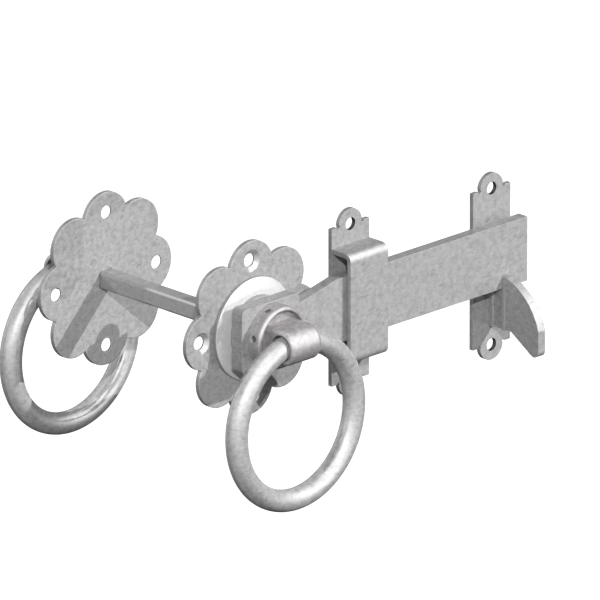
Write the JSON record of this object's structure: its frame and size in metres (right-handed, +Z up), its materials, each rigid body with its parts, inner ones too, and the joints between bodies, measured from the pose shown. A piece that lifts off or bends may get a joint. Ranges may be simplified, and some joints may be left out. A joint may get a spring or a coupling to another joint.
{
  "type": "ring gate latch",
  "caption": "Gate latch with a ring handle on each side of the gate, a lifting bar in a strap keep, and an upright hook that catches the bar.",
  "frame": {"origin": "spindle axis at the near face of the gate, the centre of the near rose's screw circle", "axes": "+Y through the gate from the bar's side to the far side, +X along the latch bar towards the catch, +Z up"},
  "size_m": [0.1928, 0.1492, 0.1114],
  "materials": {
    "galvanised_steel": "hot-dip galvanised, soft mottled grey with a satin sheen",
    "galvanised_casting": "hot-dip galvanised casting, soft grey with a satin sheen",
    "dark_screw_steel": "dark plain steel"
  },
  "bodies": {
    "fixed": {"near_rose": "galvanised_steel", "near_disc": "galvanised_steel", "far_rose": "galvanised_steel", "far_disc": "galvanised_steel", "keep_plate": "galvanised_steel", "keep_strap": "galvanised_steel", "catch_plate": "galvanised_steel", "catch_hook": "galvanised_steel"},
    "turning": {"spindle": "galvanised_steel", "near_spacer": "galvanised_steel", "latch_bar": "galvanised_steel", "near_collar": "galvanised_casting", "near_socket": "galvanised_casting", "near_screw_1": "dark_screw_steel", "near_screw_2": "dark_screw_steel", "far_spacer": "galvanised_steel", "far_collar": "galvanised_casting", "far_socket": "galvanised_casting", "far_screw_1": "dark_screw_steel", "far_screw_2": "dark_screw_steel"},
    "near_ring": {"near_ring": "galvanised_steel"},
    "far_ring": {"far_ring": "galvanised_steel"}
  },
  "joints": [
    {"name": "latch_turn", "type": "hinge", "parent": "fixed", "child": "turning", "pos_m": [0, 0, 0], "axis": [0, -1, 0], "range_deg": [0, 6.2]},
    {"name": "near_ring_swing", "type": "hinge", "parent": "turning", "child": "near_ring", "pos_m": [0, -0.02788, -0.0007], "axis": [-1, 0, 0], "range_deg": [-19, 199]},
    {"name": "far_ring_swing", "type": "hinge", "parent": "turning", "child": "far_ring", "pos_m": [0, 0.10588, -0.0007], "axis": [1, 0, 0], "range_deg": [-19, 199]}
  ]
}
